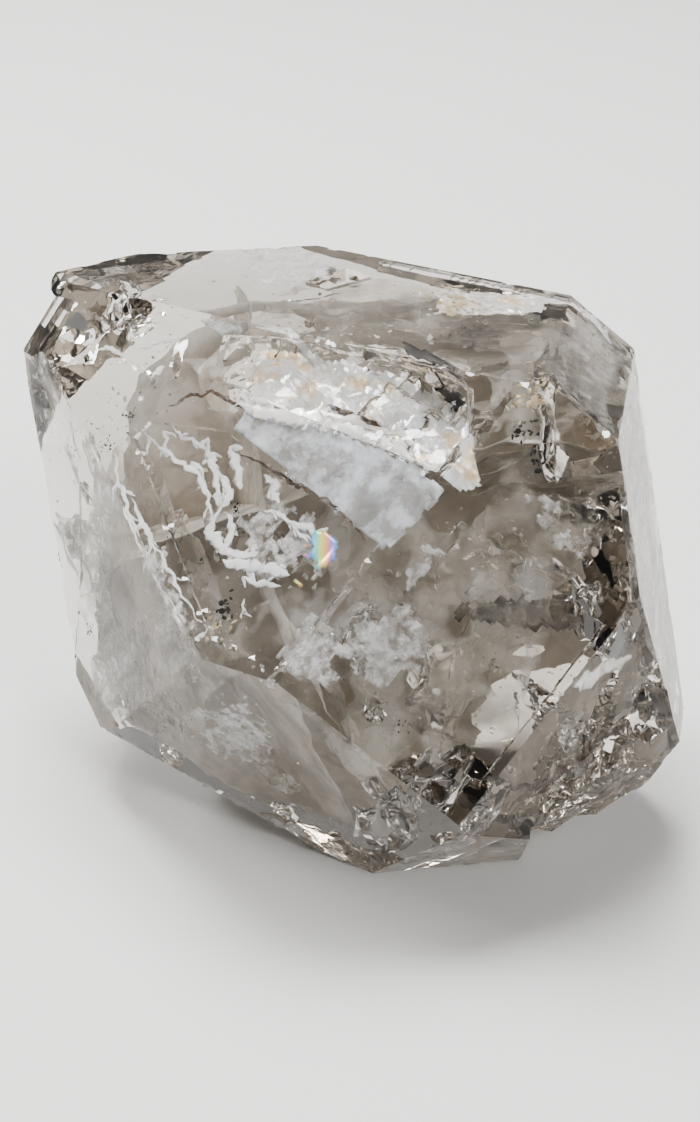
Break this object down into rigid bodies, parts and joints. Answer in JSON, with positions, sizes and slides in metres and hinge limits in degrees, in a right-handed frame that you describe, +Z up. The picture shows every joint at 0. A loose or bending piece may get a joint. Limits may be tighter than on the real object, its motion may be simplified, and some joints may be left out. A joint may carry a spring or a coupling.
{
  "type": "herkimer diamond quartz crystal",
  "caption": "Stout clear quartz crystal with a termination at each end, a rough hollow under its top edge and a broken foot, lying on a termination face.",
  "frame": {"origin": "middle of the base of the box round the crystal, on the surface it rests on", "axes": "+Z up, +X from the raised tip to the broken foot, -Y towards the side with the large hollow"},
  "size_m": [0.0512, 0.0444, 0.0382],
  "materials": {
    "quartz": "clear, faintly smoky, bright flat faces with rough hollows, white veils inside"
  },
  "bodies": {
    "root": {"herkimer_crystal": "quartz"}
  },
  "joints": []
}
